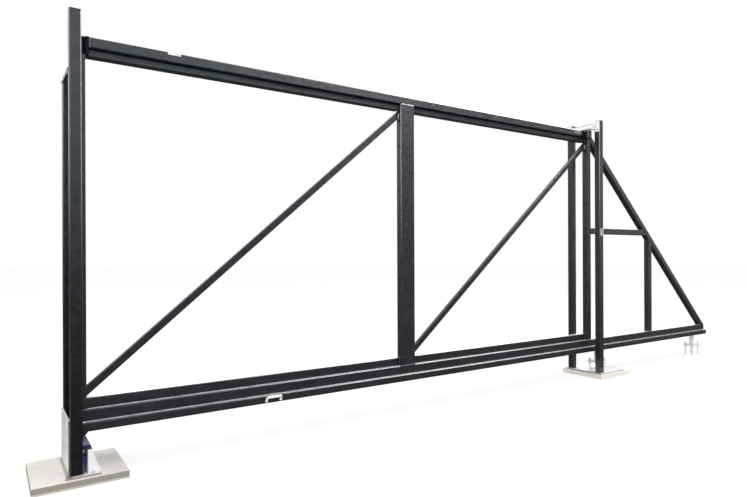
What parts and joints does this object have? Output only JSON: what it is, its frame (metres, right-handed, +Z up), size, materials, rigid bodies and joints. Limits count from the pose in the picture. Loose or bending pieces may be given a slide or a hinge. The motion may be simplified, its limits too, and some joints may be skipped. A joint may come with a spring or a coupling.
{
  "type": "self-supporting sliding gate frame",
  "caption": "Self-supporting sliding driveway gate frame with a counterweight tail, running on two roller carriages between a catch portal and a guide portal.",
  "frame": {"origin": "on the underside of the guide portal's board, below the middle between its two posts, in the leaf's middle plane", "axes": "+X along the leaf from the catch portal toward the counterweight tail, the way the gate opens; +Y from the show side to the back; +Z up"},
  "size_m": [4.833, 0.31, 1.735],
  "materials": {
    "anthracite_paint": "satin powder coat",
    "galvanised_steel": "zinc coated",
    "timber_board": "raw board",
    "cap_plastic": "matt black",
    "buffer_rubber": "black",
    "roller_nylon": "black nylon",
    "roller_navy": "dark blue nylon",
    "wheel_nylon": "pale nylon"
  },
  "bodies": {
    "portals": {"catch_base_plate": "galvanised_steel", "catch_board": "timber_board", "catch_jaw_front": "galvanised_steel", "catch_jaw_rear": "galvanised_steel", "catch_lower_plate": "galvanised_steel", "catch_post_front": "anthracite_paint", "catch_post_front_cap": "cap_plastic", "catch_post_rear": "anthracite_paint", "catch_post_rear_cap": "cap_plastic", "catch_upper_plate": "galvanised_steel", "front_carriage": "galvanised_steel", "front_carriage_studs": "galvanised_steel", "front_carriage_wheels": "wheel_nylon", "guide_base_plate": "galvanised_steel", "guide_board": "timber_board", "guide_post_front": "anthracite_paint", "guide_post_front_cap": "cap_plastic", "guide_post_rear": "anthracite_paint", "guide_post_rear_cap": "cap_plastic", "guide_yoke": "galvanised_steel", "landing_bracket": "galvanised_steel", "rear_carriage": "galvanised_steel", "rear_carriage_studs": "galvanised_steel", "rear_carriage_wheels": "wheel_nylon"},
    "leaf": {"bottom_tube_front": "anthracite_paint", "bottom_tube_rear": "anthracite_paint", "bow_handle": "galvanised_steel", "brace_front": "anthracite_paint", "brace_rear": "anthracite_paint", "end_roller_fork": "anthracite_paint", "front_stile": "anthracite_paint", "mid_post": "anthracite_paint", "nose_buffer": "buffer_rubber", "rail_end_cap": "anthracite_paint", "rear_stile": "anthracite_paint", "running_rail": "anthracite_paint", "tail_cross_bar": "anthracite_paint", "tail_strut": "anthracite_paint", "tail_upright": "anthracite_paint", "top_guide_rail": "anthracite_paint", "top_tube_front": "anthracite_paint", "top_tube_rear": "anthracite_paint"},
    "guide_roller_front": {"guide_roller_front": "roller_nylon"},
    "guide_roller_rear": {"guide_roller_rear": "roller_nylon"},
    "end_roller": {"end_roller": "roller_navy"}
  },
  "joints": [
    {"name": "leaf_slide", "type": "slide", "parent": "portals", "child": "leaf", "axis": [1, 0, 0], "range_m": [0, 3.05]},
    {"name": "guide_roller_front_spin", "type": "hinge", "parent": "portals", "child": "guide_roller_front", "pos_m": [-0.045, -0.0605, 1.645], "axis": [0, 0, 1], "continuous": true},
    {"name": "guide_roller_rear_spin", "type": "hinge", "parent": "portals", "child": "guide_roller_rear", "pos_m": [-0.045, 0.0605, 1.645], "axis": [0, 0, 1], "continuous": true},
    {"name": "end_roller_spin", "type": "hinge", "parent": "leaf", "child": "end_roller", "pos_m": [-3.129, 0, 0.17], "axis": [0, 1, 0], "continuous": true}
  ]
}
